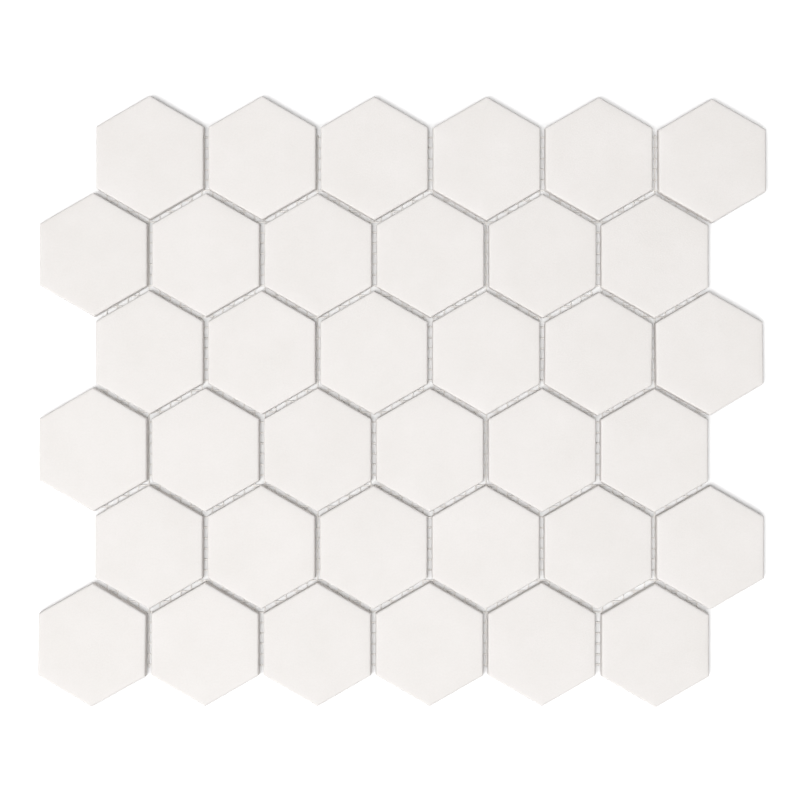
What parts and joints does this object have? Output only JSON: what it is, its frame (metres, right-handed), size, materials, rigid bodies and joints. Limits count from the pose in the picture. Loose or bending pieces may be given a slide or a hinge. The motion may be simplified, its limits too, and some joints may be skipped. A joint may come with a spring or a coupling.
{
  "type": "hexagon mosaic floor tile sheet",
  "caption": "Net-backed sheet of matte white hexagonal porcelain floor tiles in staggered rows with open joints.",
  "frame": {"origin": "on the floor under the middle of the sheet, at the net's underside", "axes": "+X along the rows to the right, +Y up the sheet from row 6 to row 1, +Z out of the walking face"},
  "size_m": [0.3441, 0.2893, 0.0055],
  "materials": {
    "porcelain": "matte",
    "glass_fibre_net": "matte"
  },
  "bodies": {
    "root": {"tile_r1_c1": "porcelain", "tile_r1_c2": "porcelain", "tile_r1_c3": "porcelain", "tile_r1_c4": "porcelain", "tile_r1_c5": "porcelain", "tile_r1_c6": "porcelain", "tile_r2_c1": "porcelain", "tile_r2_c2": "porcelain", "tile_r2_c3": "porcelain", "tile_r2_c4": "porcelain", "tile_r2_c5": "porcelain", "tile_r2_c6": "porcelain", "tile_r3_c1": "porcelain", "tile_r3_c2": "porcelain", "tile_r3_c3": "porcelain", "tile_r3_c4": "porcelain", "tile_r3_c5": "porcelain", "tile_r3_c6": "porcelain", "tile_r4_c1": "porcelain", "tile_r4_c2": "porcelain", "tile_r4_c3": "porcelain", "tile_r4_c4": "porcelain", "tile_r4_c5": "porcelain", "tile_r4_c6": "porcelain", "tile_r5_c1": "porcelain", "tile_r5_c2": "porcelain", "tile_r5_c3": "porcelain", "tile_r5_c4": "porcelain", "tile_r5_c5": "porcelain", "tile_r5_c6": "porcelain", "tile_r6_c1": "porcelain", "tile_r6_c2": "porcelain", "tile_r6_c3": "porcelain", "tile_r6_c4": "porcelain", "tile_r6_c5": "porcelain", "tile_r6_c6": "porcelain", "mesh_warp_strands": "glass_fibre_net", "mesh_weft_strands": "glass_fibre_net"}
  },
  "joints": []
}
